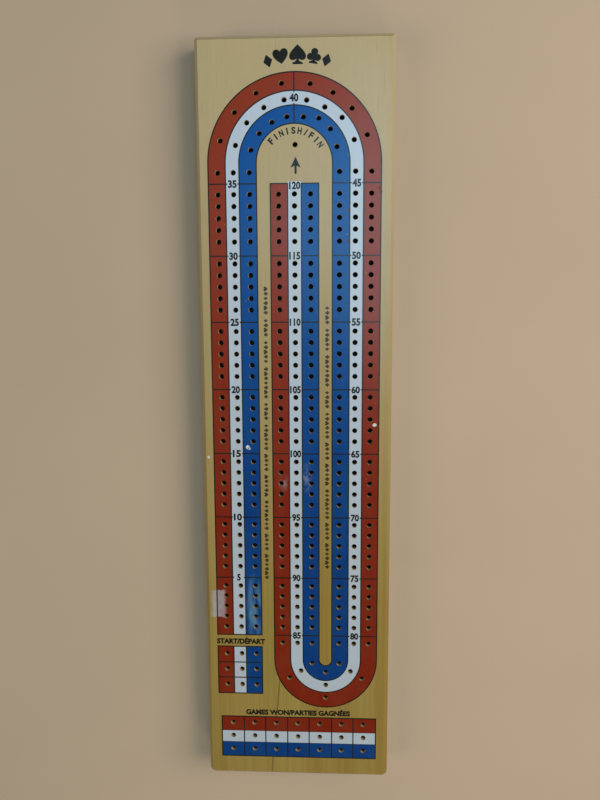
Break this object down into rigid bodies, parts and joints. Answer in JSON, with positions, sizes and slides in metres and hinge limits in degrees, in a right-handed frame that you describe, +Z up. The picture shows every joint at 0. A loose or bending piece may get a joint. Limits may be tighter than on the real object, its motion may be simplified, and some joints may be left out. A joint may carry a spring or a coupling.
{
  "type": "cribbage board",
  "caption": "Long wooden cribbage scoring board with a continuous three-lane peg track, storing its pegs underneath behind a sliding sheet-metal cover.",
  "frame": {"origin": "on the underside plane, below the centre of the board's outline", "axes": "+Y along the board towards the finish hole, +X to the right as the face is read, +Z up out of the drilled face"},
  "size_m": [0.0944, 0.3746, 0.018],
  "materials": {
    "lacquered_wood": "clear gloss lacquer over light straight-grained hardwood",
    "zinc_plated_steel": "thin plated sheet, lightly brushed",
    "red_plastic": "moulded, glossy",
    "white_plastic": "moulded, glossy",
    "blue_plastic": "moulded, glossy",
    "red_ink": "screen-printed under the lacquer, worn",
    "white_ink": "screen-printed under the lacquer, worn",
    "blue_ink": "screen-printed under the lacquer, worn",
    "black_ink": "screen-printed outlines, numbers and lettering"
  },
  "bodies": {
    "board": {"board": "lacquered_wood"},
    "storage_cover": {"storage_cover": "zinc_plated_steel"},
    "peg_red_1": {"peg_red_1": "red_plastic"},
    "peg_red_2": {"peg_red_2": "red_plastic"},
    "peg_red_3": {"peg_red_3": "red_plastic"},
    "peg_white_1": {"peg_white_1": "white_plastic"},
    "peg_white_2": {"peg_white_2": "white_plastic"},
    "peg_white_3": {"peg_white_3": "white_plastic"},
    "peg_blue_1": {"peg_blue_1": "blue_plastic"},
    "peg_blue_2": {"peg_blue_2": "blue_plastic"},
    "peg_blue_3": {"peg_blue_3": "blue_plastic"}
  },
  "joints": [
    {"name": "cover_slide", "type": "slide", "parent": "board", "child": "storage_cover", "axis": [0, -1, 0], "range_m": [0, 0.0746]},
    {"name": "peg_red_1_slide", "type": "slide", "parent": "board", "child": "peg_red_1", "axis": [0, 1, 0], "range_m": [-0.0076, 0]},
    {"name": "peg_red_2_slide", "type": "slide", "parent": "board", "child": "peg_red_2", "axis": [0, 1, 0], "range_m": [-0.0076, 0]},
    {"name": "peg_red_3_slide", "type": "slide", "parent": "board", "child": "peg_red_3", "axis": [0, 1, 0], "range_m": [-0.0076, 0]},
    {"name": "peg_white_1_slide", "type": "slide", "parent": "board", "child": "peg_white_1", "axis": [0, 1, 0], "range_m": [-0.0076, 0]},
    {"name": "peg_white_2_slide", "type": "slide", "parent": "board", "child": "peg_white_2", "axis": [0, 1, 0], "range_m": [-0.0076, 0]},
    {"name": "peg_white_3_slide", "type": "slide", "parent": "board", "child": "peg_white_3", "axis": [0, 1, 0], "range_m": [0, 0.0076]},
    {"name": "peg_blue_1_slide", "type": "slide", "parent": "board", "child": "peg_blue_1", "axis": [0, 1, 0], "range_m": [0, 0.0076]},
    {"name": "peg_blue_2_slide", "type": "slide", "parent": "board", "child": "peg_blue_2", "axis": [0, 1, 0], "range_m": [0, 0.0076]},
    {"name": "peg_blue_3_slide", "type": "slide", "parent": "board", "child": "peg_blue_3", "axis": [0, 1, 0], "range_m": [0, 0.0076]}
  ]
}
